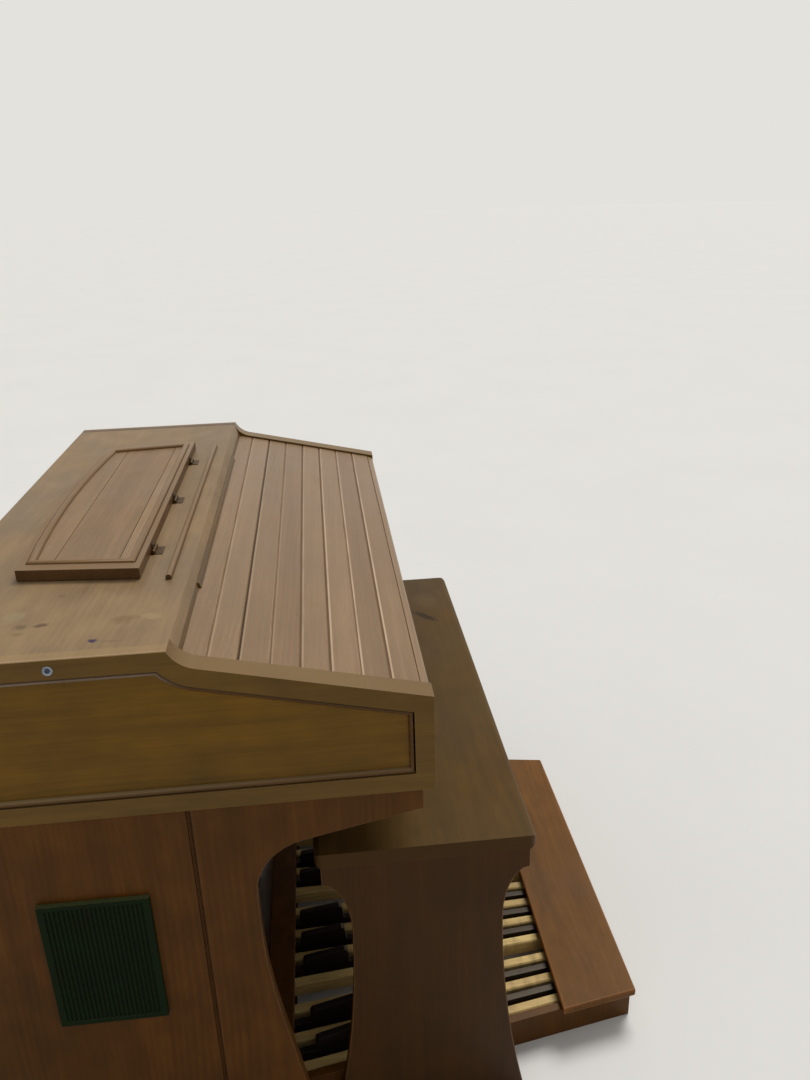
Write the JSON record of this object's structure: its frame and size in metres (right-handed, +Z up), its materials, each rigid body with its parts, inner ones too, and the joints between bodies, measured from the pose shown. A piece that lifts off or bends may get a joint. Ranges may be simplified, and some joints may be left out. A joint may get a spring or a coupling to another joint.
{
  "type": "organ console",
  "caption": "Roll top organ console with a framed music desk, a radiating board of sprung pedals and a bench with shaped ends.",
  "frame": {"origin": "middle of the whole part's plan, at floor level", "axes": "+X along the console towards the treble end, +Y from the bench towards the back, +Z up"},
  "size_m": [1.34, 1.212, 1.0565],
  "materials": {
    "case_top_wood": "satin brown lacquered walnut top, worn and smudged",
    "case_wood": "satin brown lacquered walnut",
    "case_panel_wood": "satin brown lacquered walnut, long grain",
    "bead_wood": "satin dark brown moulding",
    "slat_wood": "satin brown lacquered slats",
    "backing_canvas": "plain glued canvas",
    "hinge_metal": "dull brass",
    "lower_wood": "satin dark brown lacquered walnut",
    "inner_wood": "plain unpolished board",
    "grille_cloth": "dark green black grille cloth",
    "shoe_metal": "black ribbed tread",
    "desk_wood": "satin brown lacquered frame and panel",
    "bench_wood": "satin brown bench top, worn",
    "bench_end_wood": "satin dark brown lacquered walnut",
    "heel_wood": "red brown lacquered board",
    "natural_wood": "worn pale maple",
    "sharp_wood": "black stained hardwood"
  },
  "bodies": {
    "root": {"top_board": "case_top_wood", "cheek_left": "case_wood", "cheek_right": "case_wood", "cheek_panels": "case_panel_wood", "cheek_beads": "bead_wood", "fascia": "case_wood", "tambour_slats": "slat_wood", "tambour_canvas": "backing_canvas", "tambour_rail": "slat_wood", "key_slip": "case_wood", "key_bed": "inner_wood", "back_panel": "inner_wood", "side_panel_left": "lower_wood", "side_panel_right": "lower_wood", "side_grilles": "grille_cloth", "bracket_left": "lower_wood", "bracket_right": "lower_wood", "knee_panel": "lower_wood", "swell_shoes": "shoe_metal", "plinth": "lower_wood", "desk_ledge": "desk_wood", "desk_hinges": "hinge_metal", "bench_top": "bench_wood", "bench_end_left": "bench_end_wood", "bench_end_right": "bench_end_wood", "bench_rails": "bench_end_wood", "pedal_heel_board": "heel_wood", "pedal_hinge_rail": "inner_wood", "pedal_cheeks": "lower_wood", "pedal_toe_rail": "lower_wood"},
    "music_desk": {"music_desk": "desk_wood", "music_desk_panel": "desk_wood", "music_desk_bead": "desk_wood", "desk_knuckles": "hinge_metal"},
    "key_01": {"pedal_01": "natural_wood"},
    "key_02": {"pedal_02": "sharp_wood"},
    "key_03": {"pedal_03": "natural_wood"},
    "key_04": {"pedal_04": "sharp_wood"},
    "key_05": {"pedal_05": "natural_wood"},
    "key_06": {"pedal_06": "natural_wood"},
    "key_07": {"pedal_07": "sharp_wood"},
    "key_08": {"pedal_08": "natural_wood"},
    "key_09": {"pedal_09": "sharp_wood"},
    "key_10": {"pedal_10": "natural_wood"},
    "key_11": {"pedal_11": "sharp_wood"},
    "key_12": {"pedal_12": "natural_wood"},
    "key_13": {"pedal_13": "natural_wood"},
    "key_14": {"pedal_14": "sharp_wood"},
    "key_15": {"pedal_15": "natural_wood"},
    "key_16": {"pedal_16": "sharp_wood"},
    "key_17": {"pedal_17": "natural_wood"},
    "key_18": {"pedal_18": "natural_wood"},
    "key_19": {"pedal_19": "sharp_wood"},
    "key_20": {"pedal_20": "natural_wood"},
    "key_21": {"pedal_21": "sharp_wood"},
    "key_22": {"pedal_22": "natural_wood"},
    "key_23": {"pedal_23": "sharp_wood"},
    "key_24": {"pedal_24": "natural_wood"},
    "key_25": {"pedal_25": "natural_wood"}
  },
  "joints": [
    {"name": "music_desk_hinge", "type": "hinge", "parent": "root", "child": "music_desk", "pos_m": [0, 0.2701, 1.0359], "axis": [1, 0, 0], "range_deg": [0, 68]},
    {"name": "key_01_hinge", "type": "hinge", "parent": "root", "child": "key_01", "pos_m": [-0.44069, -0.567, 0.045], "axis": [-0.9851, -0.172, 0], "range_deg": [0, 1], "stiffness_Nm_per_rad": 60, "springref_deg": -5.73},
    {"name": "key_02_hinge", "type": "hinge", "parent": "root", "child": "key_02", "pos_m": [-0.41477, -0.567, 0.045], "axis": [-0.9871, -0.1599, 0], "range_deg": [0, 1], "stiffness_Nm_per_rad": 60, "springref_deg": -5.73},
    {"name": "key_03_hinge", "type": "hinge", "parent": "root", "child": "key_03", "pos_m": [-0.38895, -0.567, 0.045], "axis": [-0.989, -0.1477, 0], "range_deg": [0, 1], "stiffness_Nm_per_rad": 60, "springref_deg": -5.73},
    {"name": "key_04_hinge", "type": "hinge", "parent": "root", "child": "key_04", "pos_m": [-0.36323, -0.567, 0.045], "axis": [-0.9908, -0.1354, 0], "range_deg": [0, 1], "stiffness_Nm_per_rad": 60, "springref_deg": -5.73},
    {"name": "key_05_hinge", "type": "hinge", "parent": "root", "child": "key_05", "pos_m": [-0.33759, -0.567, 0.045], "axis": [-0.9924, -0.1232, 0], "range_deg": [0, 1], "stiffness_Nm_per_rad": 60, "springref_deg": -5.73},
    {"name": "key_06_hinge", "type": "hinge", "parent": "root", "child": "key_06", "pos_m": [-0.28654, -0.567, 0.045], "axis": [-0.9951, -0.0986, 0], "range_deg": [0, 1], "stiffness_Nm_per_rad": 60, "springref_deg": -5.73},
    {"name": "key_07_hinge", "type": "hinge", "parent": "root", "child": "key_07", "pos_m": [-0.26112, -0.567, 0.045], "axis": [-0.9963, -0.0863, 0], "range_deg": [0, 1], "stiffness_Nm_per_rad": 60, "springref_deg": -5.73},
    {"name": "key_08_hinge", "type": "hinge", "parent": "root", "child": "key_08", "pos_m": [-0.23575, -0.567, 0.045], "axis": [-0.9973, -0.074, 0], "range_deg": [0, 1], "stiffness_Nm_per_rad": 60, "springref_deg": -5.73},
    {"name": "key_09_hinge", "type": "hinge", "parent": "root", "child": "key_09", "pos_m": [-0.21042, -0.567, 0.045], "axis": [-0.9981, -0.0617, 0], "range_deg": [0, 1], "stiffness_Nm_per_rad": 60, "springref_deg": -5.73},
    {"name": "key_10_hinge", "type": "hinge", "parent": "root", "child": "key_10", "pos_m": [-0.18514, -0.567, 0.045], "axis": [-0.9988, -0.0494, 0], "range_deg": [0, 1], "stiffness_Nm_per_rad": 60, "springref_deg": -5.73},
    {"name": "key_11_hinge", "type": "hinge", "parent": "root", "child": "key_11", "pos_m": [-0.15988, -0.567, 0.045], "axis": [-0.9993, -0.037, 0], "range_deg": [0, 1], "stiffness_Nm_per_rad": 60, "springref_deg": -5.73},
    {"name": "key_12_hinge", "type": "hinge", "parent": "root", "child": "key_12", "pos_m": [-0.13465, -0.567, 0.045], "axis": [-0.9997, -0.0247, 0], "range_deg": [0, 1], "stiffness_Nm_per_rad": 60, "springref_deg": -5.73},
    {"name": "key_13_hinge", "type": "hinge", "parent": "root", "child": "key_13", "pos_m": [-0.08423, -0.567, 0.045], "axis": [-1, 0, 0], "range_deg": [0, 1], "stiffness_Nm_per_rad": 60, "springref_deg": -5.73},
    {"name": "key_14_hinge", "type": "hinge", "parent": "root", "child": "key_14", "pos_m": [-0.05902, -0.567, 0.045], "axis": [-0.9999, 0.0123, 0], "range_deg": [0, 1], "stiffness_Nm_per_rad": 60, "springref_deg": -5.73},
    {"name": "key_15_hinge", "type": "hinge", "parent": "root", "child": "key_15", "pos_m": [-0.0338, -0.567, 0.045], "axis": [-0.9997, 0.0247, 0], "range_deg": [0, 1], "stiffness_Nm_per_rad": 60, "springref_deg": -5.73},
    {"name": "key_16_hinge", "type": "hinge", "parent": "root", "child": "key_16", "pos_m": [-0.00857, -0.567, 0.045], "axis": [-0.9993, 0.037, 0], "range_deg": [0, 1], "stiffness_Nm_per_rad": 60, "springref_deg": -5.73},
    {"name": "key_17_hinge", "type": "hinge", "parent": "root", "child": "key_17", "pos_m": [0.01668, -0.567, 0.045], "axis": [-0.9988, 0.0494, 0], "range_deg": [0, 1], "stiffness_Nm_per_rad": 60, "springref_deg": -5.73},
    {"name": "key_18_hinge", "type": "hinge", "parent": "root", "child": "key_18", "pos_m": [0.06729, -0.567, 0.045], "axis": [-0.9973, 0.074, 0], "range_deg": [0, 1], "stiffness_Nm_per_rad": 60, "springref_deg": -5.73},
    {"name": "key_19_hinge", "type": "hinge", "parent": "root", "child": "key_19", "pos_m": [0.09266, -0.567, 0.045], "axis": [-0.9963, 0.0863, 0], "range_deg": [0, 1], "stiffness_Nm_per_rad": 60, "springref_deg": -5.73},
    {"name": "key_20_hinge", "type": "hinge", "parent": "root", "child": "key_20", "pos_m": [0.11809, -0.567, 0.045], "axis": [-0.9951, 0.0986, 0], "range_deg": [0, 1], "stiffness_Nm_per_rad": 60, "springref_deg": -5.73},
    {"name": "key_21_hinge", "type": "hinge", "parent": "root", "child": "key_21", "pos_m": [0.14358, -0.567, 0.045], "axis": [-0.9938, 0.1109, 0], "range_deg": [0, 1], "stiffness_Nm_per_rad": 60, "springref_deg": -5.73},
    {"name": "key_22_hinge", "type": "hinge", "parent": "root", "child": "key_22", "pos_m": [0.16914, -0.567, 0.045], "axis": [-0.9924, 0.1232, 0], "range_deg": [0, 1], "stiffness_Nm_per_rad": 60, "springref_deg": -5.73},
    {"name": "key_23_hinge", "type": "hinge", "parent": "root", "child": "key_23", "pos_m": [0.19477, -0.567, 0.045], "axis": [-0.9908, 0.1354, 0], "range_deg": [0, 1], "stiffness_Nm_per_rad": 60, "springref_deg": -5.73},
    {"name": "key_24_hinge", "type": "hinge", "parent": "root", "child": "key_24", "pos_m": [0.22049, -0.567, 0.045], "axis": [-0.989, 0.1477, 0], "range_deg": [0, 1], "stiffness_Nm_per_rad": 60, "springref_deg": -5.73},
    {"name": "key_25_hinge", "type": "hinge", "parent": "root", "child": "key_25", "pos_m": [0.27223, -0.567, 0.045], "axis": [-0.9851, 0.172, 0], "range_deg": [0, 1], "stiffness_Nm_per_rad": 60, "springref_deg": -5.73}
  ]
}
